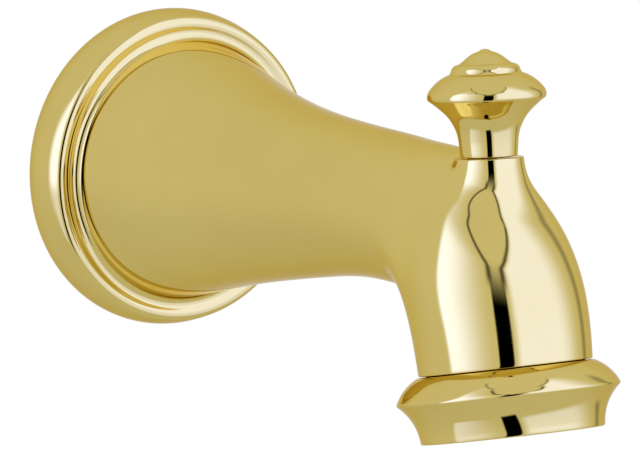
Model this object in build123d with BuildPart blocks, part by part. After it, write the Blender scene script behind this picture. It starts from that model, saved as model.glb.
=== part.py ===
from build123d import *
import os
from math import cos, radians, sin

os.makedirs("parts", exist_ok=True)

# A bath spout with a lift-up diverter, in millimetres.
# The origin is the centre of the wall flange's back face, +Z is up and the spout reaches out along -Y.
# A length called "out" is a distance from the wall along -Y, and a "rise" is a height above the inlet's axis.

# Wall flange, turned about the inlet's axis
flange_r = 40.1
flange_back_r = 35.5
barrel_crest_out = 9.5
barrel_out = 16.2
barrel_end_r = 39.4
bead_out = 18.2
bead_r = 35.8
bead_bulge = 0.6
cove_depth = 0.8
wall = 2.8

# Bell: round sections square to the wall, each with its out, its radius and how far its centre sags
bell_foot_out = 18.0
bell_foot_r = 32.6
bell_sections = ((48.0, 24.9, 0.6), (78.0, 19.9, 0.1), (105.0, 17.8, -0.4))

# Bend: the knob's axis and the outlet's axis meet in one elbow point
elbow_out = 143.6
elbow_rise = -8.5
knob_lean = 4.6
outlet_lean = 11.25
seat_height = 24.7
nose_drop = 24.7
nose_r = 20.5
# Round sections of the bend: turn from square to the wall, out and rise from the elbow point, radius
bend_sections = ((0.0, -21.6, 8.0, 17.75), (25.0, -10.3, 5.8, 18.2),
                 (50.0, -3.1, -3.0, 20.9), (77.5, 2.1, -13.2, 21.1))

# Neck under the knob
neck_r = 8.1
neck_middle_r = 9.4
neck_middle_depth = 6.0
neck_foot_r = 13.0
neck_depth = 14.0

# Outlet ring
joint_gap = 0.15
ring_top_r = 20.7
ring_edge_r = 26.5
ring_edge_drop = 6.3
ring_crown = 0.8
ring_lip_r = 21.7
ring_drop = 15.9
ring_hollow = 1.2
mouth_r = 16.8
spigot_r = 18.6
spigot_height = 6.5
spigot_bore_r = 15.2
thread_gap = 0.1

# Inlet adapter and its hub
inlet_thread_r = 9.15
inlet_thread_depth = 19.5
adapter_out = 11.5
adapter_hex_across = 26.0
adapter_hex_depth = 7.0
adapter_body_r = 12.0
adapter_end_out = 38.0
hub_r = 16.0
hub_rib = 3.0
hub_rib_count = 4
first_rib_angle = 45.0
washer_thick = 1.5

# Water tube and its sealing rings
tube_r = 7.0
tube_bore_r = 5.0
tube_gap = 0.05
tube_short = 15.1
tube_front_out = elbow_out - tube_short
tube_lip = 1.0
seal_wire_r = 0.54
seal_inset = 3.5

# Diverter chamber, laid out along the knob's axis from the elbow point: forward, up
tower_r = 11.5
tower_back = 2.0
chamber_gap = 0.3
roof_up = 13.2
roof_slope = 30.8
roof_thick = 1.8
slot_half = 6.5
slot_rear = 9.3
slot_front = 6.0
rail_thick = 1.2
rail_reach = 1.3
chamber_flange_r = spigot_r
chamber_flange_thick = 2.4
socket_reach = 4.1
socket_out = tube_front_out - socket_reach
socket_r = 8.8
socket_space = 2.0
port_r = 4.0
port_up = 8.5

# Diverter gate, rod and knob
lift = 11.0
gate_cover = 0.6
gate_half = 6.2
gate_low = port_up - port_r - gate_cover - lift
gate_height = 10.5
gate_thick = 1.8
pad_thick = 1.0
slide_gap = 0.3
hub_height = 4.6
hub_outer_r = 3.6
arm_half = 2.2
rod_r = 2.0
rod_foot_r = 1.6
rod_grip = 9.0
rod_tail = 2.0
clip_r = 3.2
clip_thick = 0.6
clip_groove_r = 1.2
running_gap = 0.05
bush_r = 5.0
bush_spigot_r = 4.0
bush_shoulder = 5.5
stem_seal_wire_r = 0.6
stem_seal_depth = 2.6
knob_gap = 0.25
knob_foot_r = 6.7
knob_waist_r = 7.0
knob_waist_height = 3.6
knob_flare_r = 8.9
knob_flare_height = 8.9
knob_rim_r = 13.8
knob_rim_height = 14.3
knob_rim_round = 0.7
knob_flare_slope = 1.3
knob_dome = 1.1
knob_step_r = 8.4
knob_step_height = 19.8
knob_band_r = 7.9
knob_band_height = 20.9
knob_button_r = 6.1
knob_button_height = 22.0
knob_button_dome = 0.35
knob_tip_r = 1.4
knob_tip_height = 24.9
knob_flat_r = 0.5
knob_height = 25.4


def leaning(out, rise, lean):
    """Plane of symmetry seen from the side: x forward and y up, both turned by a lean towards the wall."""
    turn = radians(lean)
    return Plane(origin=(0, -out, rise), x_dir=(0, -cos(turn), sin(turn)), z_dir=(-1, 0, 0))


def turning_axis(side):
    """Axis along a side plane's y, for what is turned about it."""
    return Axis(side.origin, side.y_dir)


def square_to_wall(out, rise=0.0):
    """Plane square to the inlet's axis that faces forward."""
    return Plane(origin=(0, -out, rise), x_dir=(1, 0, 0), z_dir=(0, -1, 0))


def square_to_axis(side, up, turn=0.0):
    """Plane across a side plane's y axis at a height: x sideways, y forward, tipped forward by a turn."""
    centre = side.from_local_coords(Vector(0, up, 0))
    tip = radians(turn)
    facing = side.x_dir * sin(tip) + side.y_dir * cos(tip)
    return Plane(origin=centre, x_dir=(-1, 0, 0), z_dir=facing)


inlet_side = leaning(0, 0, 0)
elbow_side = leaning(elbow_out, elbow_rise, knob_lean)
seat_point = elbow_side.from_local_coords(Vector(0, seat_height, 0))
knob_side = leaning(-seat_point.Y, seat_point.Z, knob_lean)
outlet_turn = leaning(elbow_out, elbow_rise, outlet_lean)
foot_point = outlet_turn.from_local_coords(Vector(0, -nose_drop, 0))
outlet_side = leaning(-foot_point.Y, foot_point.Z, outlet_lean)


def bell_rows():
    """Planes and radii of the bell's round sections, from its foot to the start of the bend."""
    rows = [(square_to_wall(bell_foot_out), bell_foot_r)]
    for out, radius, sag in bell_sections:
        rows.append((square_to_wall(out, -sag), radius))
    return rows + bend_rows()[:1]


def bend_rows():
    """Planes and radii of the bend's round sections, from the bell to the nose's foot."""
    rows = []
    for turn, out, rise, radius in bend_sections:
        facing = (0, -cos(radians(turn)), -sin(radians(turn)))
        centre = (0, -elbow_out - out, elbow_rise + rise)
        rows.append((Plane(origin=centre, x_dir=(1, 0, 0), z_dir=facing), radius))
    foot = Plane(origin=outlet_side.origin, x_dir=(1, 0, 0), z_dir=-outlet_side.y_dir)
    return rows + [(foot, nose_r)]


def filled_body(inset):
    """Solid of the bell, the bend and the nose, with every radius drawn in by an inset."""
    with BuildPart() as solid:
        for rows in (bell_rows(), bend_rows()):
            for plane, radius in rows:
                with BuildSketch(plane):
                    Circle(radius - inset)
            loft()
    return solid.part


outer_form = filled_body(0)
inner_form = filled_body(wall)
chamber_room = filled_body(wall + chamber_gap)

# Hollow of the body: the bell's and nose's inside, less the hub that carries the inlet adapter on its ribs
hub_out = adapter_out + adapter_hex_depth + washer_thick
with BuildPart() as hollow:
    add(inner_form)
    with BuildSketch(inlet_side):
        with BuildLine():
            Polyline((0, 0), (0, flange_back_r - wall), (barrel_out - wall, flange_back_r - wall),
                     (bell_foot_out, bell_foot_r - wall), (bell_foot_out, 0), close=True)
        make_face()
    revolve(axis=Axis.Y)
    with BuildSketch(square_to_wall(hub_out)):
        Circle(hub_r)
        with PolarLocations(0, hub_rib_count, start_angle=first_rib_angle):
            Rectangle(flange_r, hub_rib, align=(Align.MIN, Align.CENTER))
    extrude(amount=adapter_end_out - hub_out, mode=Mode.SUBTRACT)

# One casting: stepped flange, bell, bend and nose, with the neck that carries the knob
counterbore_depth = spigot_height + chamber_flange_thick + thread_gap
with BuildPart() as spout_body:
    with BuildSketch(inlet_side):
        with BuildLine():
            Line((0, 0), (0, flange_back_r))
            ThreePointArc((0, flange_back_r), (barrel_crest_out, flange_r), (barrel_out, barrel_end_r))
            SagittaArc((barrel_out, barrel_end_r), (bead_out, bead_r), bead_bulge)
            SagittaArc((bead_out, bead_r), (bell_foot_out, bell_foot_r), -cove_depth)
            Polyline((bell_foot_out, bell_foot_r), (bell_foot_out, 0), (0, 0))
        make_face()
    revolve(axis=Axis.Y)
    add(outer_form)
    with BuildSketch(knob_side):
        with BuildLine():
            Line((0, 0), (neck_r, 0))
            ThreePointArc((neck_r, 0), (neck_middle_r, -neck_middle_depth), (neck_foot_r, -neck_depth))
            Polyline((neck_foot_r, -neck_depth), (0, -neck_depth), (0, 0))
        make_face()
    revolve(axis=turning_axis(knob_side))
    add(hollow.part, mode=Mode.SUBTRACT)
    with BuildSketch(square_to_axis(knob_side, 0)):
        Circle(bush_r)
    extrude(amount=-neck_depth, mode=Mode.SUBTRACT)
    with BuildSketch(square_to_axis(outlet_side, 0)):
        Circle(spigot_r + thread_gap)
    extrude(amount=counterbore_depth, mode=Mode.SUBTRACT)
    with BuildSketch(square_to_wall(hub_out)):
        Circle(adapter_body_r)
    extrude(amount=adapter_end_out - hub_out, mode=Mode.SUBTRACT)
spout_body.part.label = "spout_body"
export_step(spout_body.part, "parts/spout_body.step")

# Outlet ring: turned, with a spigot that screws into the nose and holds the chamber up
with BuildPart() as outlet_ring:
    with BuildSketch(outlet_side):
        with BuildLine():
            Polyline((spigot_bore_r, spigot_height), (spigot_r, spigot_height), (spigot_r, -joint_gap),
                     (ring_top_r, -joint_gap))
            SagittaArc((ring_top_r, -joint_gap), (ring_edge_r, -ring_edge_drop), ring_crown)
            SagittaArc((ring_edge_r, -ring_edge_drop), (ring_lip_r, -ring_drop), -ring_hollow)
            Polyline((ring_lip_r, -ring_drop), (mouth_r, -ring_drop), (spigot_bore_r, spigot_height))
        make_face()
    revolve(axis=turning_axis(outlet_side))
outlet_ring.part.label = "outlet_ring"
export_step(outlet_ring.part, "parts/outlet_ring.step")

# Inlet adapter: hexagon bushing with the pipe thread's bore at the wall and the tube's seat in front
thread_end = adapter_out + inlet_thread_depth
with BuildPart() as inlet_adapter:
    with BuildSketch(square_to_wall(adapter_out)):
        RegularPolygon(adapter_hex_across / 2, 6, major_radius=False)
    extrude(amount=adapter_hex_depth)
    with BuildSketch(square_to_wall(adapter_out)):
        Circle(adapter_body_r)
    extrude(amount=adapter_end_out - adapter_out)
    with BuildSketch(inlet_side):
        with BuildLine():
            Polyline((adapter_out, 0), (adapter_out, inlet_thread_r), (thread_end, inlet_thread_r),
                     (thread_end, tube_bore_r), (thread_end + tube_lip, tube_bore_r),
                     (thread_end + tube_lip, tube_r + tube_gap), (adapter_end_out, tube_r + tube_gap),
                     (adapter_end_out, 0), close=True)
        make_face()
    revolve(axis=Axis.Y, mode=Mode.SUBTRACT)
inlet_adapter.part.label = "inlet_adapter"
export_step(inlet_adapter.part, "parts/inlet_adapter.step")

# Flat washer between the adapter's hexagon and the hub
with BuildPart() as adapter_washer:
    with BuildSketch(square_to_wall(adapter_out + adapter_hex_depth)):
        Circle(adapter_hex_across / 2)
        Circle(adapter_body_r, mode=Mode.SUBTRACT)
    extrude(amount=washer_thick)
adapter_washer.part.label = "adapter_washer"
export_step(adapter_washer.part, "parts/adapter_washer.step")

# Water tube with a groove for a sealing ring near each end
tube_rear_out = thread_end + tube_lip
seal_outs = {"tube_seal_rear": tube_rear_out + seal_inset, "tube_seal_front": tube_front_out - seal_inset}
with BuildPart() as waterway_tube:
    with BuildSketch(square_to_wall(tube_rear_out)):
        Circle(tube_r)
        Circle(tube_bore_r, mode=Mode.SUBTRACT)
    extrude(amount=tube_front_out - tube_rear_out)
    for seal_out in seal_outs.values():
        with BuildSketch(square_to_wall(seal_out - seal_wire_r)):
            Circle(tube_r)
            Circle(tube_r - 2 * seal_wire_r, mode=Mode.SUBTRACT)
        extrude(amount=2 * seal_wire_r, mode=Mode.SUBTRACT)
waterway_tube.part.label = "waterway_tube"
export_step(waterway_tube.part, "parts/waterway_tube.step")

# Sealing rings in the tube's grooves
for name, seal_out in seal_outs.items():
    with BuildPart() as tube_seal:
        with BuildSketch(inlet_side):
            with Locations((seal_out, tube_r - seal_wire_r)):
                Circle(seal_wire_r)
        revolve(axis=Axis.Y)
    tube_seal.part.label = name
    export_step(tube_seal.part, f"parts/{name}.step")

# Gate's slot in the chamber: open below, under a sloping roof, with the rails left standing in it
chamber_bottom = -(nose_drop - spigot_height - thread_gap)
with BuildPart() as slot:
    with BuildSketch(square_to_axis(elbow_side, -nose_drop)):
        with Locations((0, (slot_front - slot_rear) / 2)):
            Rectangle(2 * slot_half, slot_front + slot_rear)
        rail_back = -slot_rear + slide_gap + pad_thick + gate_thick + slide_gap
        with Locations((slot_half - rail_reach / 2, rail_back + rail_thick / 2),
                       (rail_reach / 2 - slot_half, rail_back + rail_thick / 2)):
            Rectangle(rail_reach, rail_thick, mode=Mode.SUBTRACT)
    extrude(amount=2 * seat_height)
    split(bisect_by=square_to_axis(elbow_side, roof_up - roof_thick, roof_slope), keep=Keep.BOTTOM)

# Diverter chamber: tower with the slot, a socket for the tube behind it and a flange on the ring's spigot
with BuildPart() as diverter_chamber:
    with BuildSketch(square_to_axis(elbow_side, -nose_drop)):
        with Locations((0, -tower_back)):
            Circle(tower_r)
    extrude(amount=2 * seat_height)
    split(bisect_by=square_to_axis(elbow_side, roof_up, roof_slope), keep=Keep.BOTTOM)
    with BuildSketch(square_to_wall(socket_out)):
        Circle(socket_r)
    extrude(amount=tube_front_out + 2 * socket_space - socket_out)
    add(chamber_room, mode=Mode.INTERSECT)
    chamber_base = square_to_axis(outlet_turn, chamber_bottom)
    with BuildSketch(chamber_base):
        Circle(chamber_flange_r)
    extrude(amount=chamber_flange_thick)
    split(bisect_by=chamber_base, keep=Keep.TOP)
    with BuildSketch(square_to_wall(socket_out)):
        Circle(tube_r + tube_gap)
    extrude(amount=tube_front_out + socket_space - socket_out, mode=Mode.SUBTRACT)
    add(slot.part, mode=Mode.SUBTRACT)
    port_plane = Plane(origin=elbow_side.from_local_coords(Vector(0, port_up, 0)), x_dir=(1, 0, 0),
                       z_dir=-elbow_side.x_dir)
    with BuildSketch(port_plane.offset(slot_rear)):
        Circle(port_r)
    extrude(amount=tower_r + tower_back - slot_rear, mode=Mode.SUBTRACT)
    with BuildSketch(square_to_axis(elbow_side, 0)):
        Circle(bush_spigot_r)
    extrude(amount=seat_height, mode=Mode.SUBTRACT)
diverter_chamber.part.label = "diverter_chamber"
export_step(diverter_chamber.part, "parts/diverter_chamber.step")

# Stem bush: guide of the rod, stepped so that its lower end plugs the chamber's roof
with BuildPart() as stem_bush:
    with BuildSketch(square_to_axis(knob_side, 0)):
        Circle(bush_r)
    extrude(amount=-bush_shoulder)
    with BuildSketch(square_to_axis(knob_side, -bush_shoulder)):
        Circle(bush_spigot_r)
    extrude(amount=-(seat_height - bush_shoulder - roof_up + 2 * roof_thick))
    with BuildSketch(square_to_axis(knob_side, 0)):
        Circle(rod_r + running_gap)
    extrude(amount=-seat_height, mode=Mode.SUBTRACT)
    with BuildSketch(square_to_axis(knob_side, -stem_seal_depth - stem_seal_wire_r)):
        Circle(rod_r + running_gap + 2 * stem_seal_wire_r)
    extrude(amount=2 * stem_seal_wire_r, mode=Mode.SUBTRACT)
stem_bush.part.label = "stem_bush"
export_step(stem_bush.part, "parts/stem_bush.step")

# Sealing ring round the rod
with BuildPart() as stem_seal:
    with BuildSketch(knob_side):
        with Locations((rod_r + running_gap + stem_seal_wire_r, -stem_seal_depth)):
            Circle(stem_seal_wire_r)
    revolve(axis=turning_axis(knob_side))
stem_seal.part.label = "stem_seal"
export_step(stem_seal.part, "parts/stem_seal.step")

# Lift rod: stepped foot for the gate's hub, a groove for the clip and a head in the knob
hub_top = gate_low + hub_height
rod_foot = gate_low - clip_thick - rod_tail
rod_head = seat_height + knob_gap + rod_grip
with BuildPart() as lift_rod:
    with BuildSketch(elbow_side):
        with BuildLine():
            Polyline((0, rod_foot), (rod_foot_r, rod_foot), (rod_foot_r, gate_low - clip_thick),
                     (clip_groove_r, gate_low - clip_thick), (clip_groove_r, gate_low), (rod_foot_r, gate_low),
                     (rod_foot_r, hub_top), (rod_r, hub_top), (rod_r, rod_head), (0, rod_head), close=True)
        make_face()
    revolve(axis=turning_axis(elbow_side))
lift_rod.part.label = "lift_rod"
export_step(lift_rod.part, "parts/lift_rod.step")

# Diverter gate: plate, arm and hub in one moulding
plate_rear = slide_gap + pad_thick - slot_rear
with BuildPart() as diverter_gate:
    with BuildSketch(square_to_axis(elbow_side, gate_low)):
        with Locations((0, plate_rear + gate_thick / 2)):
            Rectangle(2 * gate_half, gate_thick)
    extrude(amount=gate_height)
    with BuildSketch(square_to_axis(elbow_side, gate_low)):
        Circle(hub_outer_r)
        with Locations((0, (plate_rear + gate_thick) / 2)):
            Rectangle(2 * arm_half, -plate_rear - gate_thick)
    extrude(amount=hub_height)
    with BuildSketch(square_to_axis(elbow_side, gate_low)):
        Circle(rod_foot_r)
    extrude(amount=hub_height, mode=Mode.SUBTRACT)
diverter_gate.part.label = "diverter_gate"
export_step(diverter_gate.part, "parts/diverter_gate.step")

# Rubber pad on the gate's face
with BuildPart() as gate_pad:
    with BuildSketch(square_to_axis(elbow_side, gate_low)):
        with Locations((0, plate_rear - pad_thick / 2)):
            Rectangle(2 * gate_half, pad_thick)
    extrude(amount=gate_height)
gate_pad.part.label = "gate_pad"
export_step(gate_pad.part, "parts/gate_pad.step")

# Retaining clip: open ring in the rod's groove
with BuildPart() as rod_clip:
    with BuildSketch(square_to_axis(elbow_side, gate_low - clip_thick)):
        Circle(clip_r)
        Circle(clip_groove_r, mode=Mode.SUBTRACT)
        Rectangle(2 * clip_groove_r, clip_r, align=(Align.CENTER, Align.MIN), mode=Mode.SUBTRACT)
    extrude(amount=clip_thick)
rod_clip.part.label = "rod_clip"
export_step(rod_clip.part, "parts/rod_clip.step")

# Lift knob: turned trumpet, rim, dome and stepped button, drilled for the rod
with BuildPart() as lift_knob:
    with BuildSketch(knob_side):
        with BuildLine():
            Line((0, knob_gap), (knob_foot_r, knob_gap))
            Spline((knob_foot_r, knob_gap), (knob_waist_r, knob_waist_height), (knob_flare_r, knob_flare_height),
                   (knob_rim_r, knob_rim_height - knob_rim_round), tangents=((0, 1), (knob_flare_slope, 1)))
            SagittaArc((knob_rim_r, knob_rim_height - knob_rim_round),
                       (knob_rim_r, knob_rim_height + knob_rim_round), -knob_rim_round / 2)
            SagittaArc((knob_rim_r, knob_rim_height + knob_rim_round), (knob_step_r, knob_step_height), -knob_dome)
            Polyline((knob_step_r, knob_step_height), (knob_band_r, knob_band_height),
                     (knob_button_r, knob_button_height))
            SagittaArc((knob_button_r, knob_button_height), (knob_tip_r, knob_tip_height), -knob_button_dome)
            Line((knob_tip_r, knob_tip_height), (knob_flat_r, knob_height))
            Polyline((knob_flat_r, knob_height), (0, knob_height), (0, knob_gap))
        make_face()
    revolve(axis=turning_axis(knob_side))
    with BuildSketch(square_to_axis(knob_side, knob_gap)):
        Circle(rod_r)
    extrude(amount=rod_grip, mode=Mode.SUBTRACT)
lift_knob.part.label = "lift_knob"
export_step(lift_knob.part, "parts/lift_knob.step")
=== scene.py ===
import bpy
import numpy as np
from mathutils import Matrix, Vector


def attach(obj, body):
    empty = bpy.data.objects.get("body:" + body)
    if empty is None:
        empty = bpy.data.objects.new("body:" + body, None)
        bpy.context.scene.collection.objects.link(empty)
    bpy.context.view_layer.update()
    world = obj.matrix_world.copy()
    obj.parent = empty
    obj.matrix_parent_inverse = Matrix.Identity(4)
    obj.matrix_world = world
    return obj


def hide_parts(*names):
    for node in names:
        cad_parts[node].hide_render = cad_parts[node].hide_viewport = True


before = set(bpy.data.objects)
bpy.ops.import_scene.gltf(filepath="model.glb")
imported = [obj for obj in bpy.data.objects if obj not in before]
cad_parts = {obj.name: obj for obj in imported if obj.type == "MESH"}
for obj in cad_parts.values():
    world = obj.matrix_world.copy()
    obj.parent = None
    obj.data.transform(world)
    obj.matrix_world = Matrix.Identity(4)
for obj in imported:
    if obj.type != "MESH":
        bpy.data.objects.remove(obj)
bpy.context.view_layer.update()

# Photographer's camera: a long lens in front of the spout, to its left and a little above it.
# Its place and turn are those at which the spout's outline falls on the photograph's.
camera_place = Vector((-0.77919, -1.14998, 0.17863))
camera_yaw, camera_pitch, camera_roll = np.radians((35.92, -8.08, 0.17))
focal_in_widths = 5500.0 / 640
flat_ahead = np.array((np.sin(camera_yaw), np.cos(camera_yaw), 0.0))
flat_right = np.array((np.cos(camera_yaw), -np.sin(camera_yaw), 0.0))
ahead = Vector(flat_ahead * np.cos(camera_pitch) + np.array((0, 0, np.sin(camera_pitch))))
level_right = Vector(flat_right)
level_up = level_right.cross(ahead)
right = level_right * np.cos(camera_roll) + level_up * np.sin(camera_roll)
up = level_up * np.cos(camera_roll) - level_right * np.sin(camera_roll)
lens = bpy.data.cameras.new("camera")
lens.sensor_width = 36.0
lens.sensor_fit = "HORIZONTAL"
lens.lens = lens.sensor_width * focal_in_widths
lens.clip_start = 0.05
lens.clip_end = 50.0
camera = bpy.data.objects.new("camera", lens)
camera.matrix_world = Matrix.Translation(camera_place) @ Matrix((right, up, -ahead)).transposed().to_4x4()
bpy.context.scene.collection.objects.link(camera)
bpy.context.scene.camera = camera
bpy.context.scene.view_settings.view_transform = "Standard"


# Spout body: one hollow brass casting, a stepped wall flange that runs into a bell, a bend and a nose.
# It is turned and buffed to a mirror outside, left as cast inside, and a short neck on top carries the knob.
mm = 0.001
wall = 2.8
fine_step = 0.15
horn_sections = np.array(((18.0, 0.0, 32.6, 0.0), (48.0, -0.6, 24.9, 0.0), (78.0, -0.1, 19.9, 0.0),
                          (105.0, 0.4, 17.8, 0.0), (122.0, -0.5, 17.75, 0.0), (133.3, -2.7, 18.2, 25.0),
                          (140.5, -11.5, 20.9, 50.0), (145.7, -21.7, 21.1, 77.5),
                          (148.42, -32.73, 20.5, 78.75)))
horn_places = np.append(0.0, np.cumsum(np.hypot(*np.diff(horn_sections[:, :2], axis=0).T)))


def spline(knots, values, at):
    """Natural cubic spline: spans are cubics whose second derivatives solve a three-term system."""
    gap = np.diff(knots)
    inner = np.arange(1, len(knots) - 1)
    system = np.eye(len(knots))
    system[inner, inner - 1] = gap[:-1]
    system[inner, inner] = 2 * (gap[:-1] + gap[1:])
    system[inner, inner + 1] = gap[1:]
    slope = np.diff(values, axis=0) / gap[:, None]
    pull = np.zeros_like(values)
    pull[1:-1] = 6 * np.diff(slope, axis=0)
    bend = np.linalg.solve(system, pull)
    k = np.clip(np.searchsorted(knots, at, side="right") - 1, 0, len(gap) - 1)
    along, span = (at - knots[k])[..., None], gap[k][..., None]
    return (values[k] + along * (slope[k] - span * (2 * bend[k] + bend[k + 1]) / 6) + along ** 2 * bend[k] / 2
            + along ** 3 * (bend[k + 1] - bend[k]) / (6 * span))


def horn_rows(places, inset=0.0):
    """Rows (out, rise, radius, turn) of the horn at places along its middle, its radius less an inset."""
    rows = spline(horn_places, horn_sections, places)
    rows[..., 2] -= inset
    return rows


def rings(rows, angles):
    """Circle of every row: its centre, plus its radius times cos(angle) outwards and sin(angle) sideways."""
    out, rise, radius, turn = (rows[:, k, None] for k in range(4))
    lift = radius * np.cos(angles)
    tip = np.radians(turn)
    return np.stack((radius * np.sin(angles), -out - lift * np.sin(tip), rise + lift * np.cos(tip)), -1)


def about_inlet(line):
    """Rows for circles about the inlet's axis from points (out, radius)."""
    out, radius = np.asarray(line, float).T
    return np.stack((out, 0 * out, radius, 0 * out), -1)


def straight(first, last, step=fine_step):
    """Rows on a straight run from the first to the last, a step apart, without the last."""
    first, last = np.array(first, float), np.array(last, float)
    count = max(2, int(np.linalg.norm(last - first) / step))
    return first + (last - first) * np.linspace(0, 1, count, endpoint=False)[:, None]


def bowed(first, last, sag, step=fine_step):
    """Points on a circular arc from first to last whose middle stands off the chord by a sag, to its left."""
    first, last = np.array(first, float), np.array(last, float)
    chord = last - first
    length = np.linalg.norm(chord)
    half = 2 * np.arctan(2 * sag / length)
    swing = np.linspace(-half, half, max(4, int(length / step)), endpoint=False)
    reach = length / 2 / np.sin(half)
    along = reach * np.sin(swing)[:, None] * chord / length
    aside = reach * (np.cos(swing) - np.cos(half))[:, None] * np.array((-chord[1], chord[0])) / length
    return (first + last) / 2 + along + aside


def softened(rows, width, closed):
    """Rows respaced evenly and averaged with a bell curve of a width, which rounds every corner a little."""
    steps_per_width, reach = 3, 9
    step = width / steps_per_width
    run = np.append(0.0, np.cumsum(np.linalg.norm(np.diff(rows[:, :3], axis=0), axis=1)))
    even = np.linspace(0, run[-1], int(run[-1] / step))
    spaced = np.stack([np.interp(even, run, column) for column in rows.T], -1)
    offsets = np.arange(-reach, reach + 1)
    weights = np.exp(-0.5 * (offsets / steps_per_width) ** 2)
    beyond = {"mode": "wrap"} if closed else {"mode": "reflect", "reflect_type": "odd"}
    padded = np.pad(spaced, ((reach, reach), (0, 0)), **beyond)
    stacked = np.stack([padded[reach + k:reach + k + len(spaced)] for k in offsets])
    smooth = np.tensordot(weights / weights.sum(), stacked, 1)
    if not closed:
        smooth[0], smooth[-1] = spaced[0], spaced[-1]
    return smooth


def thinned(rows, lines, longest, sharpest):
    """Rows kept so that no line along them steps further than longest or turns more than sharpest degrees."""
    steps = np.diff(lines, axis=0)
    lengths = np.linalg.norm(steps, axis=-1)
    ways = steps / np.maximum(lengths, 1e-9)[..., None]
    turns = np.degrees(np.arccos(np.clip(np.sum(ways[1:] * ways[:-1], -1), -1, 1)))
    share = lengths.max(-1) / longest
    share[1:] += turns.max(-1) / sharpest
    run = np.append(0.0, np.cumsum(share))
    want = np.linspace(0, run[-1], int(np.ceil(run[-1])) + 1)
    return np.stack([np.interp(want, run, column) for column in rows.T], -1)


def grid_faces(index, close_rows=False, close_columns=True):
    """Quads between neighbouring rows and columns of a grid of vertex numbers."""
    if close_rows:
        index = np.vstack((index, index[:1]))
    if close_columns:
        index = np.hstack((index, index[:, :1]))
    return np.stack((index[:-1, :-1], index[1:, :-1], index[1:, 1:], index[:-1, 1:]), -1)


def piece(name, points, faces, finishes, body, slot, *stands_for, second=None):
    """Mesh of points in millimetres, turned to face outwards, that rides on a body and stands for CAD nodes.

    The faces that second marks have the second of the finishes, and all others the first."""
    mesh = bpy.data.meshes.new(name)
    mesh.from_pydata((np.asarray(points) * mm).tolist(), [], [list(face) for face in faces])
    corners = np.array([face[:3] for face in faces])
    a, b, c = (points[corners[:, k]] for k in range(3))
    if np.sum(np.cross(a, b) * c) < 0:
        mesh.flip_normals()
    mesh.polygons.foreach_set("use_smooth", np.ones(len(faces), bool))
    for finish in finishes:
        mesh.materials.append(finish)
    if second is not None:
        mesh.polygons.foreach_set("material_index", second.astype(np.int32))
    made = bpy.data.objects.new(name, mesh)
    bpy.context.scene.collection.objects.link(made)
    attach(made, body)
    if stands_for:
        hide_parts(*stands_for)
    return made


class Socket:
    """An output in a node tree that takes part in sums: each operator adds a Math node."""

    def __init__(self, tree, link=None):
        self.tree = tree
        self.link = link

    def node(self, kind, settings=None, inputs=None, output=0):
        """Adds a node, sets its settings and then its sockets, and gives the output that is named."""
        made = self.tree.nodes.new(kind)
        for key, value in (settings or {}).items():
            setattr(made, key, value)
        for key, value in (inputs or {}).items():
            if isinstance(value, Socket):
                self.tree.links.new(value.link, made.inputs[key])
            else:
                made.inputs[key].default_value = value
        return Socket(self.tree, made.outputs[output]) if len(made.outputs) else None

    def math(self, operation, *values):
        return self.node("ShaderNodeMath", {"operation": operation}, dict(enumerate(values)))

    def __add__(self, other):
        return self.math("ADD", self, other)

    def __sub__(self, other):
        return self.math("SUBTRACT", self, other)

    def __rsub__(self, other):
        return self.math("SUBTRACT", other, self)

    def __mul__(self, other):
        return self.math("MULTIPLY", self, other)

    __radd__ = __add__
    __rmul__ = __mul__

    def between(self, low, high):
        """0 below low, 1 above high, and a smooth step from one to the other."""
        return self.node("ShaderNodeMapRange", {"interpolation_type": "SMOOTHSTEP"},
                         {"Value": self, "From Min": low, "From Max": high})

    def tinted(self, low, high):
        """Colour low where this is 0 and high where it is 1."""
        return self.node("ShaderNodeMix", {"data_type": "RGBA"},
                         {0: self, 6: (*low, 1.0), 7: (*high, 1.0)}, 2)

    def noise(self, place, scale, detail=2.0):
        return self.node("ShaderNodeTexNoise", {}, {"Vector": place, "Scale": scale, "Detail": detail}, "Fac")


def finish_of(name, surface):
    """Material whose principled shader gets the sockets that surface gives for Object coordinates."""
    material = bpy.data.materials.new(name)
    material.use_nodes = True
    tree = material.node_tree
    tree.nodes.clear()
    start = Socket(tree)
    place = start.node("ShaderNodeTexCoord", output="Object")
    shader = start.node("ShaderNodeBsdfPrincipled", {}, surface(start, place))
    start.node("ShaderNodeOutputMaterial", {}, {"Surface": shader})
    return material


def polished_brass(start, place):
    """Mirror-buffed brass: a slow drift of tone, faint wipe marks in the gloss and traces of buffing."""
    drift = start.noise(place, 26.0, 3.0)
    wipes = start.noise(place, 130.0, 4.0)
    waves = start.noise(place, 60.0, 1.0)
    tone = drift.between(0.3, 0.7).tinted((0.755, 0.602, 0.188), (0.790, 0.636, 0.206))
    bump = start.node("ShaderNodeBump", {}, {"Strength": 0.004, "Distance": 0.001, "Height": waves})
    return {"Base Color": tone, "Metallic": 1.0, "Roughness": 0.03 + 0.04 * wipes.between(0.45, 0.8),
            "Specular Tint": (0.84, 0.71, 0.42, 1.0), "Normal": bump}


def cast_brass(start, place):
    """Brass as it left the sand: dull, brownish in patches, with a grain as coarse as fine sugar."""
    grain = start.noise(place, 900.0, 3.0)
    stain = start.noise(place, 55.0, 4.0)
    tone = stain.between(0.35, 0.7).tinted((0.30, 0.215, 0.075), (0.46, 0.35, 0.13))
    bump = start.node("ShaderNodeBump", {}, {"Strength": 0.35, "Distance": 0.0004, "Height": grain})
    return {"Base Color": tone, "Metallic": 0.85, "Roughness": 0.42 + 0.25 * stain, "Normal": bump}


polished = finish_of("polished_brass", polished_brass)
as_cast = finish_of("as_cast_brass", cast_brass)

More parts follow.
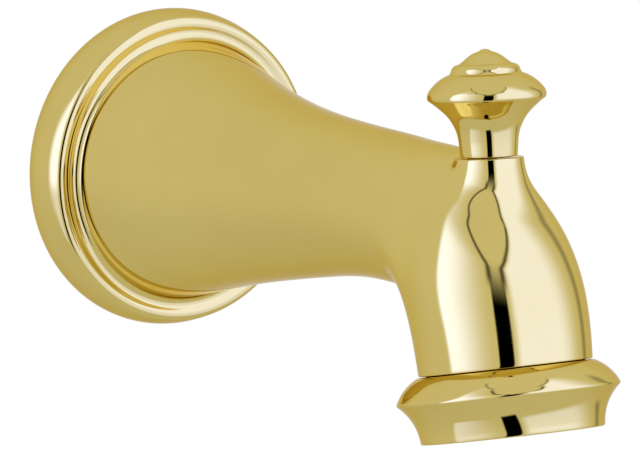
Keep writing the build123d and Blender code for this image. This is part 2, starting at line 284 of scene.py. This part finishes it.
# The profile goes round the wall's section: flange, bell, bend, nose, the nose's counterbore, and back inside
flange_back_r, flange_bore_r = 35.4, 32.7
barrel = np.array(((0.0, flange_back_r), (4.0, 38.7), (8.6, 40.1), (12.7, 39.75), (16.4, 38.55)))
barrel_rows = 120
bead_out, bead_r, bead_bulge = 16.9, 35.5, 0.55
cove_depth = 0.6
bore_end_out = 13.4
counterbore_r, counterbore_depth = 18.7, 9.0
edge_softness = 0.24
before_horn, past_horn = -1.0, 1e3
longest_step, sharpest_turn = 1.0, 6.0
around = 168
angles = np.arange(around) * 2 * np.pi / around - np.pi
bell_foot, nose_foot = horn_sections[0], horn_sections[-1]
flange_rows = about_inlet(np.concatenate((
    straight((0.0, flange_bore_r), (0.0, flange_back_r)),
    spline(barrel[:, 0], barrel, np.linspace(0.0, barrel[-1, 0], barrel_rows, endpoint=False)),
    bowed(barrel[-1], (bead_out, bead_r), bead_bulge),
    bowed((bead_out, bead_r), (bell_foot[0], bell_foot[2]), -cove_depth))))
nose_tip = np.radians(nose_foot[3])
nose_axis = np.array((np.cos(nose_tip), -np.sin(nose_tip), 0.0, 0.0))
rim_row = np.where(np.arange(4) == 2, counterbore_r, nose_foot)
counterbore_row = rim_row - counterbore_depth * nose_axis
outer_places = np.arange(0.0, horn_places[-1], fine_step)
end_rows = np.concatenate((straight(nose_foot, rim_row), straight(rim_row, counterbore_row),
                           counterbore_row[None]))
outer_rows = np.concatenate((flange_rows, horn_rows(outer_places), end_rows))
marks = np.concatenate((np.full(len(flange_rows), before_horn), outer_places,
                        np.full(len(end_rows), past_horn)))
outer_rows = softened(np.column_stack((outer_rows, marks)), edge_softness, False)
watched = rings(outer_rows[:, :4], np.array((0.0, np.pi / 2, np.pi)))
outer_rows = thinned(outer_rows, watched, longest_step, sharpest_turn)

# Throat: the inside of the bend is rounded over, so that the bell's underside runs on into the nose's back
throat_ends = np.array((horn_places[4] - 5.0, horn_places[8] - 3.0))
throat_pull, throat_nudge = 0.92, 0.05
throat_turns = np.radians((81.0, 106.0))


def smooth_step(values, low, high):
    """0 below low, 1 above high, and 3 t squared less 2 t cubed between them."""
    share = np.clip((values - low) / (high - low), 0, 1)
    return share ** 2 * (3 - 2 * share)


def throat_shift(places, inset=0.0):
    """How far rings at places move inside the bend: onto a cubic from the bell to the nose's back."""
    near = throat_nudge * np.array((-1.0, 0.0, 1.0))
    first, last = (rings(horn_rows(end + near, inset), angles) for end in throat_ends)
    chord = np.linalg.norm(last[1] - first[1], axis=-1)[:, None]
    headings = (end[2] - end[0] for end in (first, last))
    leave, arrive = (throat_pull * chord * way / np.linalg.norm(way, axis=-1)[:, None] for way in headings)
    t = ((places - throat_ends[0]) / np.diff(throat_ends))[:, None, None]
    bridge = ((1 + 2 * t) * (1 - t) ** 2 * first[1] + t ** 2 * (3 - 2 * t) * last[1]
              + t * (1 - t) ** 2 * leave - t ** 2 * (1 - t) * arrive)
    under = smooth_step(np.abs(angles), *throat_turns)[:, None]
    return np.where((t > 0) & (t < 1), under * (bridge - rings(horn_rows(places, inset), angles)), 0.0)


outer_grid = rings(outer_rows[:, :4], angles) + throat_shift(outer_rows[:, 4])

# The neck's window in the grid, and the same window in the inner wall
window_margin, window_turn = 4.0, 80
window_places = (horn_places[4] - window_margin, horn_places[6] + window_margin)
window_half = int(window_turn / 360 * around)
rows_below, rows_behind = 14, 40
mouth_step, bore_step = 1.0, 1.5
first_row, last_row = np.searchsorted(outer_rows[:, 4], window_places)
first_column, last_column = around // 2 - window_half, around // 2 + window_half
window_rows = outer_rows[first_row:last_row + 1, 4]
counterbore_place = horn_places[-1] - counterbore_depth
inner_places = np.concatenate((np.linspace(counterbore_place, window_rows[-1], rows_below)[:-1],
                               window_rows[::-1], np.linspace(window_rows[0], 0.0, rows_behind)[1:]))
bore_end = (bore_end_out, flange_bore_r)
mouth_line = np.concatenate((straight((bell_foot[0], bell_foot[2] - wall), bore_end, mouth_step)[1:],
                             straight(bore_end, (0.0, flange_bore_r), bore_step)))
inner_grid = rings(np.concatenate((horn_rows(inner_places, wall), about_inlet(mouth_line))), angles)
inner_grid[:len(inner_places)] += throat_shift(inner_places, wall)
body_grid = np.concatenate((outer_grid, inner_grid))
body_index = np.arange(body_grid.shape[0] * around).reshape(-1, around)
faces = grid_faces(body_index, close_rows=True)
inner_last = len(outer_grid) + rows_below - 1
inner_first = inner_last + len(window_rows) - 1
kept = np.ones(faces.shape[:2], bool)
kept[first_row:last_row, first_column:last_column] = False
kept[inner_last:inner_first, first_column:last_column] = False


def window_edge(near, far):
    """Vertex numbers round a window, from its row nearest to the wall and back."""
    columns = np.arange(first_column, last_column)
    step = 1 if far > near else -1
    rows = np.arange(near, far, step)
    return np.concatenate((body_index[near, columns], body_index[rows, last_column],
                           body_index[far, columns + 1][::-1], body_index[rows + step, first_column][::-1]))


outer_edge = window_edge(first_row, last_row)
inner_edge = window_edge(inner_first, inner_last)

# Neck: flares from the seat under the knob into the shoulder, in coordinates about the knob's axis
knob_lean = np.radians(4.6)
knob_forward = np.array((np.cos(knob_lean), np.sin(knob_lean)))
knob_up = np.array((-np.sin(knob_lean), np.cos(knob_lean)))
elbow = np.array((143.6, -8.5))
seat_height = 24.7
seat = elbow + seat_height * knob_up
neck_r, neck_flare, neck_power = 8.1, 0.055, 1.62
neck_foot_r, neck_fall = 12.5, 0.6
fillet_least, fillet_ahead, fillet_aside = 0.5, 1.5, 6.5
window_fade, neck_grading = 7.0, 0.85
neck_samples, neck_count, rim_count, under_count = 260, 38, 6, 8
neck_edge_r = 0.3
seat_inset, seat_middle_r = 0.6, 6.5
bush_r, bush_edge, bush_depth = 5.0, 0.25, 3.0
halvings = 45


def about_knob(radius, turn, height):
    """Points at a radius, a turn from straight ahead and a height above the seat, about the knob's axis."""
    flat = seat + (radius * np.cos(turn))[..., None] * knob_forward + np.asarray(height)[..., None] * knob_up
    return np.stack((radius * np.sin(turn), -flat[..., 0], flat[..., 1]), -1)


def horn_height(radius, turn, inset):
    """Height of the horn over a place beside the knob's axis, found by halving the place along the horn."""
    aside, forward = radius * np.sin(turn), radius * np.cos(turn)
    low, high = np.full(aside.shape, horn_places[3]), np.full(aside.shape, horn_places[7])
    for halving in range(halvings):
        middle = (low + high) / 2
        rows = horn_rows(middle, inset)
        lift = np.sqrt(np.maximum(rows[..., 2] ** 2 - aside ** 2, 0))
        tip = np.radians(rows[..., 3])
        flat = rows[..., :2] + lift[..., None] * np.stack((np.sin(tip), np.cos(tip)), -1) - seat
        short = flat @ knob_forward < forward
        low, high = np.where(short, middle, low), np.where(short, high, middle)
    return flat @ knob_up


def neck_rows(radius, turn):
    """Rows from the window's edge up the neck: the higher of horn and flare, rounded over where they meet."""
    share = (1 - np.cos(np.linspace(0, np.pi, neck_samples)))[:, None] / 2
    reach = radius + (neck_r - radius) * share
    flare = (-(np.maximum(reach - neck_r, 0) / neck_flare) ** (1 / neck_power)
             - neck_fall * np.maximum(reach - neck_foot_r, 0) ** 2)
    horn = horn_height(reach, np.broadcast_to(turn, reach.shape), 0.0)
    width = fillet_least + fillet_ahead * np.abs(np.cos(turn / 2)) + fillet_aside * np.sin(turn) ** 2
    near = np.maximum(width - np.abs(horn - flare), 0)
    blended = np.minimum(np.maximum(horn, flare) + near ** 2 / (4 * width), np.maximum(horn, -neck_edge_r))
    height = horn + smooth_step(radius - reach, 0.0, window_fade) * (blended - horn)
    run = np.vstack((reach[0] * 0, np.cumsum(np.hypot(np.diff(reach, axis=0), np.diff(height, axis=0)), 0)))
    step = np.linspace(0, 1, neck_count)[:, None]
    want = step * (1 + neck_grading * (1 - step)) * run[-1]
    columns = range(len(turn))
    return (np.stack([np.interp(want[:, k], run[:, k], reach[:, k]) for k in columns], -1),
            np.stack([np.interp(want[:, k], run[:, k], height[:, k]) for k in columns], -1))


edge_points = body_grid.reshape(-1, 3)[outer_edge]
edge_flat = np.stack((-edge_points[:, 1], edge_points[:, 2]), -1) - seat
edge_turn = np.arctan2(edge_points[:, 0], edge_flat @ knob_forward)
edge_radius = np.hypot(edge_points[:, 0], edge_flat @ knob_forward)
neck_reach, neck_height = neck_rows(edge_radius, edge_turn)
round_over = np.linspace(0, np.pi / 2, rim_count)[1:, None]
full = np.ones((1, len(edge_turn)))
rim_reach = (neck_r - neck_edge_r * (1 - np.cos(round_over))) * full
rim_height = neck_edge_r * (np.sin(round_over) - 1) * full
seat_radii = np.array((neck_r - seat_inset, seat_middle_r, bush_r + bush_edge, bush_r, bush_r))
seat_reach = seat_radii[:, None] * full
seat_heights = np.array((0.0, 0.0, 0.0, -bush_edge, -bush_depth))[:, None] * full
inner_points = body_grid.reshape(-1, 3)[inner_edge]
inner_flat = np.stack((-inner_points[:, 1], inner_points[:, 2]), -1) - seat
inner_radius = np.hypot(inner_points[:, 0], inner_flat @ knob_forward)
spread = np.linspace(0, 1, under_count)[:-1, None]
under_reach = bush_r + (inner_radius - bush_r) * spread
under_turn = np.arctan2(inner_points[:, 0], inner_flat @ knob_forward)
under_height = horn_height(under_reach, np.broadcast_to(under_turn, under_reach.shape), wall)
neck_grid = about_knob(np.vstack((neck_reach[1:], rim_reach, seat_reach)), edge_turn,
                       np.vstack((neck_height[1:], rim_height, seat_heights)))
under_grid = about_knob(under_reach, under_turn, under_height)
patch_grid = np.concatenate((neck_grid, under_grid))
patch_index = body_index.size + np.arange(patch_grid.shape[0] * len(edge_turn)).reshape(-1, len(edge_turn))
patch_index = np.vstack((outer_edge, patch_index, inner_edge))
patch_faces = grid_faces(patch_index).reshape(-1, 4)
body_points = np.concatenate((body_grid.reshape(-1, 3), patch_grid.reshape(-1, 3)))
body_faces = np.concatenate((faces[kept], patch_faces))
rows_inside = np.arange(len(faces))[:, None] >= len(outer_grid) - 1
patch_inside = np.arange(len(patch_index) - 1) >= len(neck_grid) - 1
second = np.concatenate((np.broadcast_to(rows_inside, kept.shape)[kept],
                         np.repeat(patch_inside, patch_index.shape[1])))
piece("spout_body_casting", body_points, body_faces, (polished, as_cast), "spout", "polished_brass",
      "spout_body", second=second)

# Hub and ribs: part of the same casting, a sleeve behind the bell that four ribs hold on the inlet's axis.
# The inlet adapter stands in the sleeve; all of it is left as cast and shows only from the wall's side.
hub_r, hub_bore_r = 16.0, 12.0
hub_out, hub_end_out = 20.0, 38.0
hub_softness, hub_longest, hub_sharpest = 0.5, 3.0, 12.0
rib_half, rib_into_wall, rib_into_hub = 1.5, 1.0, 1.0
rib_turns = np.radians((45.0, 135.0, 225.0, 315.0))
rib_rows, section_step, section_softness = 12, 0.05, 0.12


def traced(corners, step=fine_step):
    """Points along straight runs from corner to corner and back to the first."""
    return np.concatenate([straight(a, b, step) for a, b in zip(corners, (*corners[1:], corners[0]))])


sleeve = softened(about_inlet(traced(((hub_out, hub_bore_r), (hub_out, hub_r), (hub_end_out, hub_r),
                                      (hub_end_out, hub_bore_r)))), hub_softness, True)
sleeve_grid = rings(thinned(sleeve, rings(sleeve, np.zeros(1)), hub_longest, hub_sharpest)[:-1], angles[::2])
sleeve_index = np.arange(sleeve_grid.shape[0] * sleeve_grid.shape[1]).reshape(sleeve_grid.shape[:2])
unit_square = traced(((-1, -1), (1, -1), (1, 1), (-1, 1)), section_step)
rib_section = softened(np.pad(unit_square, ((0, 0), (0, 1))), section_softness, True)[:, :2]
rib_outs = (hub_out + hub_end_out) / 2 + (hub_end_out - hub_out) / 2 * rib_section[:, 0]
rib_feet = horn_rows(rib_outs - horn_sections[0, 0], wall - rib_into_wall)[:, 2]
rib_start = hub_r - rib_into_hub
rib_reach = rib_start + np.linspace(0, 1, rib_rows)[:, None] * (rib_feet - rib_start)
rib_side = rib_half * np.broadcast_to(rib_section[:, 1], rib_reach.shape)
rib_turn = rib_turns[:, None, None]
rib_grid = np.stack((rib_reach * np.sin(rib_turn) + rib_side * np.cos(rib_turn),
                     np.broadcast_to(-rib_outs, (len(rib_turns), *rib_reach.shape)),
                     rib_reach * np.cos(rib_turn) - rib_side * np.sin(rib_turn)), -1)
rib_index = sleeve_index.size + np.arange(rib_grid[..., 0].size).reshape(rib_grid.shape[:3])
rib_faces = np.concatenate([grid_faces(index).reshape(-1, 4) for index in rib_index])[:, ::-1]
rib_ends = [end.tolist() for index in rib_index for end in (index[0, ::-1], index[-1])]
sleeve_faces = grid_faces(sleeve_index, close_rows=True).reshape(-1, 4)
piece("inlet_hub", np.concatenate((sleeve_grid.reshape(-1, 3), rib_grid.reshape(-1, 3))),
      np.concatenate((sleeve_faces, rib_faces)).tolist() + rib_ends, (as_cast,), "spout", "polished_brass")

# Inlet adapter: hexagon bushing of brass bar, with the half inch pipe thread cut in its bore.
# It is screwed into the hub from the wall's side against a flat washer, and the water tube sits in its front.
adapter_out, hex_end_out, adapter_end_out = 11.5, 18.5, 38.0
hex_half, hex_chamfer = 13.0, 0.55
adapter_r = 12.0
thread_r, thread_depth, thread_pitch, thread_end_out = 9.15, 1.15, 1.814, 31.0
thread_flank, run_out_gap, run_out_length = 2.3, 1.0, 3.0
tube_bore_r, tube_seat_r, tube_seat_out = 5.0, 7.05, 32.0
bore_mouth = 0.9
adapter_around, hex_rows, barrel_count, seat_rows, thread_rows = 240, 60, 40, 10, 260


def bar_brass(start, place):
    """Turned bar brass: fine rings of the tool along the axis, slightly dulled by handling."""
    along = start.node("ShaderNodeSeparateXYZ", {}, {"Vector": place}, "Y")
    lay = start.node("ShaderNodeCombineXYZ", {}, {"Y": along})
    tool_rings = start.noise(lay, 5200.0, 2.0)
    dulled = start.noise(place, 90.0, 4.0)
    tone = dulled.between(0.3, 0.75).tinted((0.46, 0.33, 0.10), (0.58, 0.44, 0.16))
    bump = start.node("ShaderNodeBump", {}, {"Strength": 0.12, "Distance": 0.0002, "Height": tool_rings})
    return {"Base Color": tone, "Metallic": 1.0, "Roughness": 0.2 + 0.2 * dulled, "Normal": bump}


machined = finish_of("machined_brass", bar_brass)
adapter_turns = np.arange(adapter_around) * 2 * np.pi / adapter_around
flat_turn = np.mod(adapter_turns, np.pi / 3) - np.pi / 6
hex_reach = hex_half / np.cos(flat_turn)
outer_outs = np.concatenate((np.linspace(adapter_out, hex_end_out, hex_rows), (hex_end_out,),
                             np.linspace(hex_end_out + 0.01, adapter_end_out, barrel_count)))
end_gap = np.minimum(outer_outs - adapter_out, hex_end_out - outer_outs)[:, None]
cone = hex_half - hex_chamfer + np.sqrt(3) * np.maximum(end_gap, 0)
on_hexagon = (np.arange(len(outer_outs)) < hex_rows)[:, None]
outer_reach = np.where(on_hexagon, np.minimum(hex_reach, cone), adapter_r)
inner_outs = np.concatenate((np.linspace(adapter_end_out, tube_seat_out, seat_rows),
                             (tube_seat_out, thread_end_out),
                             np.linspace(thread_end_out, adapter_out, thread_rows)))
plain_r = np.repeat((tube_seat_r, tube_bore_r, thread_r), (seat_rows, 2, thread_rows))[:, None]
phase = np.mod(inner_outs[:, None] / thread_pitch - adapter_turns / (2 * np.pi), 1.0)
groove = thread_depth * np.clip(thread_flank * (0.5 - np.abs(2 * phase - 1)), 0, 1)
run_out = np.clip((thread_end_out - run_out_gap - inner_outs) / run_out_length, 0, 1)[:, None]
mouth = np.maximum(bore_mouth - (inner_outs - adapter_out), 0)[:, None]
threaded = np.maximum(plain_r + groove * run_out, thread_r + mouth)
inner_reach = np.where(plain_r == thread_r, threaded, plain_r)
adapter_reach = np.vstack((outer_reach, np.broadcast_to(inner_reach, (len(inner_outs), len(adapter_turns)))))
adapter_outs = np.broadcast_to(np.append(outer_outs, inner_outs)[:, None], adapter_reach.shape)
adapter_grid = np.stack((adapter_reach * np.sin(adapter_turns), -adapter_outs,
                         adapter_reach * np.cos(adapter_turns)), -1)
adapter_index = np.arange(adapter_reach.size).reshape(adapter_reach.shape)
adapter_faces = grid_faces(adapter_index, close_rows=True).reshape(-1, 4)
piece("inlet_adapter_bushing", adapter_grid.reshape(-1, 3), adapter_faces, (machined,), "spout",
      "plain_brass", "inlet_adapter")

# Outlet ring: turned brass, an ovolo over a hollow, buffed like the body.
# Its spigot screws up into the nose and leaves a hairline joint under the nose's rounded edge.
outlet_lean = 11.25
ring_axis_turn = 90.0 - outlet_lean
joint_gap = 0.15
spigot_r, spigot_bore_r, spigot_height = 18.6, 15.2, 6.5
ring_top_r, ring_edge_r, ring_edge_drop, ring_crown = 20.7, 26.5, 6.3, 0.8
ring_lip_r, ring_drop, ring_hollow, mouth_r = 21.7, 15.9, 1.2, 16.8
ring_softness, lathe_step = 0.35, 0.8


def turned(line, foot, axis_turn):
    """Rows for circles about a leaning axis through a foot (out, rise), from points (radius, height)."""
    tip = np.radians(axis_turn)
    radius, height = np.asarray(line, float).T
    return np.stack((foot[0] - height * np.cos(tip), foot[1] + height * np.sin(tip), radius,
                     np.full(len(radius), float(axis_turn))), -1)


def lathe_piece(name, line, foot, axis_turn, softness, body, slot, node):
    """Closed line (radius, height) turned about a leaning axis; ends that lie on the axis become poles."""
    whole = line[0, 0] > 0
    rows = softened(turned(line, foot, axis_turn), softness, whole)
    rows = thinned(rows, rings(rows, np.array((0.0, np.pi / 2))), lathe_step, sharpest_turn)
    grid = rings(rows[:-1] if whole else rows[1:-1], angles)
    index = np.arange(grid.shape[0] * around).reshape(-1, around)
    faces = grid_faces(index, close_rows=whole).reshape(-1, 4).tolist()
    points = grid.reshape(-1, 3)
    if not whole:
        points = np.vstack((points, rings(rows[[0, -1]], np.zeros(1))[:, 0]))
        for pole, edge in ((index.size, index[0]), (index.size + 1, index[-1][::-1])):
            faces += np.stack((np.full(around, pole), edge, np.roll(edge, -1)), -1).tolist()
    piece(name, points, faces, (polished,), body, slot, node)


ring_line = np.concatenate((
    straight((spigot_bore_r, spigot_height), (spigot_r, spigot_height)),
    straight((spigot_r, spigot_height), (spigot_r, -joint_gap)),
    straight((spigot_r, -joint_gap), (ring_top_r, -joint_gap)),
    bowed((ring_top_r, -joint_gap), (ring_edge_r, -ring_edge_drop), ring_crown),
    bowed((ring_edge_r, -ring_edge_drop), (ring_lip_r, -ring_drop), -ring_hollow),
    straight((ring_lip_r, -ring_drop), (mouth_r, -ring_drop)),
    straight((mouth_r, -ring_drop), (spigot_bore_r, spigot_height)),
    ((spigot_bore_r, spigot_height),)))
lathe_piece("outlet_ring_turned", ring_line, nose_foot[:2], ring_axis_turn, ring_softness, "spout",
            "polished_brass", "outlet_ring")

# Lift knob: turned brass, a trumpet under a sharp rim, a dome, a narrow band and a pointed button on top.
# It is pressed on the lift rod, which it hides, and stands a hair above the neck's seat.
knob_gap, knob_bore_r, knob_bore_top = 0.25, 2.0, 9.25
knob_softness, knob_step = 0.16, 0.1
trumpet = np.array(((6.7, 0.25), (6.9, 2.7), (7.4, 6.0), (8.35, 8.2), (9.4, 9.8), (11.2, 11.6), (12.6, 12.8),
                    (13.7, 13.6)))
rim = np.array(((13.7, 13.6), (13.95, 13.95), (14.0, 14.4)))
dome = np.array(((14.0, 14.4), (13.85, 15.3), (13.2, 16.35), (12.0, 17.6), (10.4, 18.8), (8.45, 19.7)))
band = np.array(((8.45, 19.7), (8.2, 20.2), (8.0, 20.9)))
shoulder = np.array(((8.0, 20.9), (7.3, 21.6), (6.2, 21.95)))
button = np.array(((6.2, 21.95), (5.3, 22.6), (4.2, 23.5), (2.9, 24.3), (1.4, 24.85)))
nib = np.array(((1.4, 24.85), (0.9, 25.2), (0.0, 25.38)))


def drawn_through(points):
    """Points on the natural cubic spline through some points, evenly spaced along them, without the last."""
    run = np.append(0.0, np.cumsum(np.hypot(*np.diff(points, axis=0).T)))
    return spline(run, points, np.linspace(0, run[-1], int(run[-1] / knob_step), endpoint=False))


knob_line = np.concatenate((
    straight((0.0, knob_bore_top), (knob_bore_r, knob_bore_top)),
    straight((knob_bore_r, knob_bore_top), (knob_bore_r, knob_gap)),
    straight((knob_bore_r, knob_gap), trumpet[0]),
    *(drawn_through(points) for points in (trumpet, rim, dome, band, shoulder, button, nib)), nib[-1:]))
lathe_piece("lift_knob_turned", knob_line, seat, 90.0 - np.degrees(knob_lean), knob_softness, "diverter",
            "polished_brass", "lift_knob")


# Inner works: moulded tube, chamber, bush and gate, rubber seals and pad, a turned rod and its spring clip.
# They keep the frame's own shapes; each group gets the finish of what it is made of.
def acetal(start, place):
    """Moulded white acetal: cool white with cloudy flow marks and the fine bite of a spark-cut mould."""
    cloud = start.noise(place, 70.0, 4.0)
    bite = start.noise(place, 2600.0, 2.0)
    tone = cloud.between(0.3, 0.75).tinted((0.70, 0.69, 0.655), (0.80, 0.79, 0.755))
    bump = start.node("ShaderNodeBump", {}, {"Strength": 0.12, "Distance": 0.0002, "Height": bite})
    return {"Base Color": tone, "Roughness": 0.38 + 0.15 * cloud, "Normal": bump}


def rubber(start, place):
    """Black nitrile rubber: matt, with a greyish bloom in patches and a slightly grainy skin."""
    bloom = start.noise(place, 160.0, 5.0)
    grain = start.noise(place, 3200.0, 2.0)
    tone = bloom.between(0.45, 0.8).tinted((0.012, 0.012, 0.013), (0.045, 0.045, 0.047))
    bump = start.node("ShaderNodeBump", {}, {"Strength": 0.2, "Distance": 0.0002, "Height": grain})
    return {"Base Color": tone, "Roughness": 0.55 + 0.2 * bloom, "Normal": bump}


def spring_steel(start, place):
    """Bright spring steel: stamped, with short scratches from tumbling."""
    drawn_out = start.node("ShaderNodeMapping", {}, {"Vector": place, "Scale": (1.0, 9.0, 1.0)})
    scratch = start.noise(drawn_out, 700.0, 3.0)
    tone = scratch.between(0.4, 0.7).tinted((0.40, 0.40, 0.41), (0.56, 0.56, 0.57))
    return {"Base Color": tone, "Metallic": 1.0, "Roughness": 0.22 + 0.2 * scratch}


seals = ("adapter_washer", "tube_seal_rear", "tube_seal_front", "stem_seal", "gate_pad")
inner_finishes = {
    finish_of("white_acetal", acetal): ("waterway_tube", "diverter_chamber", "stem_bush", "diverter_gate"),
    finish_of("black_rubber", rubber): seals,
    finish_of("spring_steel", spring_steel): ("rod_clip",),
    machined: ("lift_rod",)}
for finish, names in inner_finishes.items():
    for name in names:
        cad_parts[name].data.materials.clear()
        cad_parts[name].data.materials.append(finish)

# Studio: a small white floor well below the spout, and a light tent of even white with two large soft boxes.
# The boxes stand left and right of the camera, and the unlit gap between them is the dark line down the nose.
# Mirrored, they are cooler than white, so that they burn out to white on the brass as a bright lamp does.
floor_drop, floor_half = 0.45, 0.45
floor_glow, floor_mirrored = 0.68, 0.35
floor_mesh = bpy.data.meshes.new("floor")
corners = np.array(((-1, -1), (1, -1), (1, 1), (-1, 1))) * floor_half
floor_mesh.from_pydata([(x, y, -floor_drop) for x, y in corners.tolist()], [], [(0, 1, 2, 3)])
floor = bpy.data.objects.new("floor", floor_mesh)
bpy.context.scene.collection.objects.link(floor)


def rays(start, kind):
    """1 for rays of a kind, such as Camera or Glossy, and 0 for all others."""
    return start.node("ShaderNodeLightPath", output=f"Is {kind} Ray")


def floor_paint(start, place):
    """Pale painted floor with a barely seen roller texture, which glows so that it looks white."""
    speckle = start.noise(place, 40.0, 3.0)
    glow = rays(start, "Camera") + floor_mirrored * (rays(start, "Glossy") + rays(start, "Transmission"))
    return {"Base Color": speckle.tinted((0.33, 0.33, 0.325), (0.36, 0.36, 0.355)), "Roughness": 0.7,
            "Emission Color": glow.tinted((0.0, 0.0, 0.0), (1.0, 1.0, 1.0)), "Emission Strength": floor_glow}


floor_mesh.materials.append(finish_of("white_floor", floor_paint))

world = bpy.data.worlds.new("light_tent")
world.use_nodes = True
world.node_tree.nodes.clear()
tent = Socket(world.node_tree)
toward = tent.node("ShaderNodeTexCoord", output="Generated")


def along(direction):
    """Share of the looked-at direction that lies along a given one."""
    return tent.node("ShaderNodeVectorMath", {"operation": "DOT_PRODUCT"},
                     {0: toward, 1: tuple(direction)}, "Value")


def line_at(distance, half):
    """1 where a distance is nought, fading to 0 where it reaches a half width."""
    return 1 - tent.math("ABSOLUTE", distance).between(0.0, half)


# Directions in degrees: azimuth from the camera's side, positive to its right, and elevation
gap_left, gap_right, gap_top = 8.0, 12.0, 41.0
left_splay, right_splay, top_sag = 1.7, 1.8, 0.08
frame_half, frame_shade, faint = 6.5, 0.85, 0.6
top_bar, top_bar_half = 62.5, 1.8
side_bar, side_bar_half = 128.0, 10.0
right_power, mirrored_power = 0.62, 0.745
cool, plain = (0.95, 1.30, 4.9), 1.3
azimuth = np.degrees(1) * tent.math("ARCTAN2", along(flat_right), along(-flat_ahead))
elevation = np.degrees(1) * tent.math("ARCSINE", along((0, 0, 1)))
sideways = tent.math("ABSOLUTE", azimuth)
opening = tent.math("MAXIMUM", elevation - gap_top, 0.0)
past_left = azimuth + gap_left + left_splay * opening
past_right = gap_right + right_splay * opening - azimuth
top = elevation - top_sag * sideways
under_top = 1 - top.between(60.0, 62.0)
left_box = (azimuth.between(-79.0, -72.0) * (1 - past_left.between(-66.0, -2.0)) * under_top
            * (0.4 * elevation.between(-48.0, -40.0) + 0.6 * elevation.between(-18.0, -6.0))
            * (1 - 0.7 * elevation.between(32.0, 60.0)))
right_box = ((1 - past_right.between(-12.0, 0.0)) * (1 - azimuth.between(78.0, 118.0)) * under_top
             * (0.65 * elevation.between(-38.0, -28.0) + 0.35 * elevation.between(-10.0, 0.0)))
gap = (past_left.between(-1.0, 1.5) * past_right.between(-1.0, 1.5) * (1 - elevation.between(20.0, 47.0))
       * elevation.between(-46.0, -40.0))
inner_frames = (elevation.between(26.0, 36.0) * (1 - elevation.between(62.0, 66.0))
                * tent.math("MAXIMUM", line_at(past_left, frame_half), line_at(past_right, frame_half)))
top_frame = (line_at(top - top_bar, top_bar_half) * sideways.between(40.0, 50.0)
             * (1 - sideways.between(95.0, 110.0)))
side_frame = (line_at(azimuth - side_bar, side_bar_half) * elevation.between(-30.0, -22.0)
              * (1 - elevation.between(30.0, 45.0)))
frames = inner_frames + faint * (top_frame + side_frame)
unlit = (1 - gap) * (1 - frame_shade * tent.math("MINIMUM", frames, 1.0))
box_light = left_box + right_power * right_box
even = 0.87 + 0.13 * elevation.between(-45.0, 5.0)
camera_ray, glossy_ray = rays(tent, "Camera"), rays(tent, "Glossy")
channels = {}
for name, tint in zip(("Red", "Green", "Blue"), cool):
    lit = (even + box_light * (plain + glossy_ray * (tint - plain))) * unlit
    channels[name] = camera_ray + (1 - camera_ray) * lit * (1 - (1 - mirrored_power) * glossy_ray)
sky = tent.node("ShaderNodeBackground", {}, {"Color": tent.node("ShaderNodeCombineColor", {}, channels),
                                             "Strength": 1.0})
tent.node("ShaderNodeOutputWorld", {}, {"Surface": sky})
bpy.context.scene.world = world
